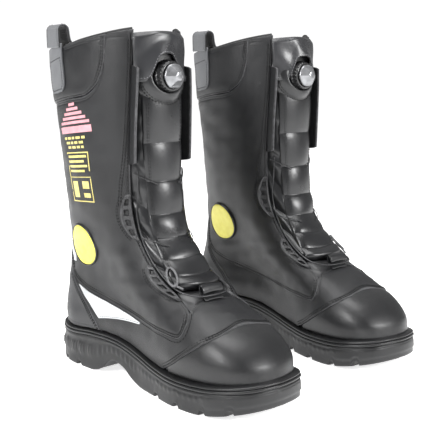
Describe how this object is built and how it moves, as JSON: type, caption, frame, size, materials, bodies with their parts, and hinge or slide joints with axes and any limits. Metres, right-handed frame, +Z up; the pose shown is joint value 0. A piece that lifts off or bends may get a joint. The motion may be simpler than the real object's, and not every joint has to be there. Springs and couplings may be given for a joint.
{
  "type": "pair of laced firefighter boots",
  "caption": "Tall black leather safety boots with lugged rubber soles, a padded tongue, a dial and cable closure, pull straps, yellow ankle discs and reflective wedges.",
  "frame": {"origin": "middle of the pair on the floor (bottom centre of the bounding box)", "axes": "+Z up; the toes point towards -Y; the right boot stands on the -X side"},
  "size_m": [0.334, 0.325, 0.3585],
  "materials": {
    "leather": "satin",
    "gloss_leather": "gloss",
    "counter_leather": "matte",
    "sole_rubber": "matte",
    "welt_rubber": "matte",
    "steel": "brushed",
    "foam": "matte",
    "lining_cloth": "matte",
    "reflective_film": "satin",
    "cable": "satin",
    "strap_grey": "matte",
    "yellow_disc": "gloss",
    "dial_black": "satin",
    "knob_silver": "satin"
  },
  "bodies": {
    "right_boot": {"right_outsole": "sole_rubber", "right_midsole": "welt_rubber", "right_puncture_plate": "steel", "right_footbed": "foam", "right_toe_leather": "gloss_leather", "right_steel_toe_cap": "steel", "right_vamp": "leather", "right_heel_counter": "counter_leather", "right_collar": "leather", "right_lining": "lining_cloth", "right_reflective_wedge": "reflective_film", "right_closure_cable": "cable", "right_pull_patch": "strap_grey", "right_quarter_outer": "leather", "right_gusset_outer": "gloss_leather", "right_guard_outer": "leather", "right_upper_guide_outer": "leather", "right_lower_guide_outer": "leather", "right_ankle_disc_outer": "yellow_disc", "right_quarter_inner": "leather", "right_gusset_inner": "gloss_leather", "right_guard_inner": "leather", "right_upper_guide_inner": "leather", "right_lower_guide_inner": "leather", "right_ankle_disc_inner": "yellow_disc"},
    "right_tongue_flap": {"right_tongue": "gloss_leather", "right_dial_housing": "dial_black"},
    "right_spool": {"right_dial_spool": "dial_black"},
    "right_knob": {"right_dial_knob": "knob_silver"},
    "right_strap": {"right_pull_strap": "strap_grey"},
    "left_boot": {"left_outsole": "sole_rubber", "left_midsole": "welt_rubber", "left_puncture_plate": "steel", "left_footbed": "foam", "left_toe_leather": "gloss_leather", "left_steel_toe_cap": "steel", "left_vamp": "leather", "left_heel_counter": "counter_leather", "left_collar": "leather", "left_lining": "lining_cloth", "left_reflective_wedge": "reflective_film", "left_closure_cable": "cable", "left_pull_patch": "strap_grey", "left_quarter_outer": "leather", "left_gusset_outer": "gloss_leather", "left_guard_outer": "leather", "left_upper_guide_outer": "leather", "left_lower_guide_outer": "leather", "left_ankle_disc_outer": "yellow_disc", "left_quarter_inner": "leather", "left_gusset_inner": "gloss_leather", "left_guard_inner": "leather", "left_upper_guide_inner": "leather", "left_lower_guide_inner": "leather", "left_ankle_disc_inner": "yellow_disc"},
    "left_tongue_flap": {"left_tongue": "gloss_leather", "left_dial_housing": "dial_black"},
    "left_spool": {"left_dial_spool": "dial_black"},
    "left_knob": {"left_dial_knob": "knob_silver"},
    "left_strap": {"left_pull_strap": "strap_grey"}
  },
  "joints": [
    {"name": "right_tongue_tilt", "type": "hinge", "parent": "right_boot", "child": "right_tongue_flap", "pos_m": [-0.10426, -0.05902, 0.10732], "axis": [1, 0, 0], "range_deg": [0, 18]},
    {"name": "right_dial_turn", "type": "hinge", "parent": "right_tongue_flap", "child": "right_spool", "pos_m": [-0.10426, -0.00685, 0.3096], "axis": [0, -0.9998, 0.0223], "continuous": true},
    {"name": "right_knob_pull", "type": "slide", "parent": "right_spool", "child": "right_knob", "axis": [0, -0.9998, 0.0223], "range_m": [0, 0.0025]},
    {"name": "right_strap_fold", "type": "hinge", "parent": "right_boot", "child": "right_strap", "pos_m": [-0.15436, 0.10065, 0.33545], "axis": [-0.2505, -0.9681, 0], "range_deg": [-15, 25]},
    {"name": "left_tongue_tilt", "type": "hinge", "parent": "left_boot", "child": "left_tongue_flap", "pos_m": [0.10383, -0.04982, 0.10732], "axis": [0.9991, -0.0427, 0], "range_deg": [0, 18]},
    {"name": "left_dial_turn", "type": "hinge", "parent": "left_tongue_flap", "child": "left_spool", "pos_m": [0.10606, 0.0023, 0.3096], "axis": [-0.0427, -0.9988, 0.0223], "continuous": true},
    {"name": "left_knob_pull", "type": "slide", "parent": "left_spool", "child": "left_knob", "axis": [-0.0427, -0.9988, 0.0223], "range_m": [0, 0.0025]},
    {"name": "left_strap_fold", "type": "hinge", "parent": "left_boot", "child": "left_strap", "pos_m": [0.06059, 0.11184, 0.33545], "axis": [-0.2917, -0.9565, 0], "range_deg": [-15, 25]},
    {"name": "left_boot_lift", "type": "slide", "parent": "right_boot", "child": "left_boot", "axis": [0, 0, 1], "range_m": [0, 0.45]}
  ]
}
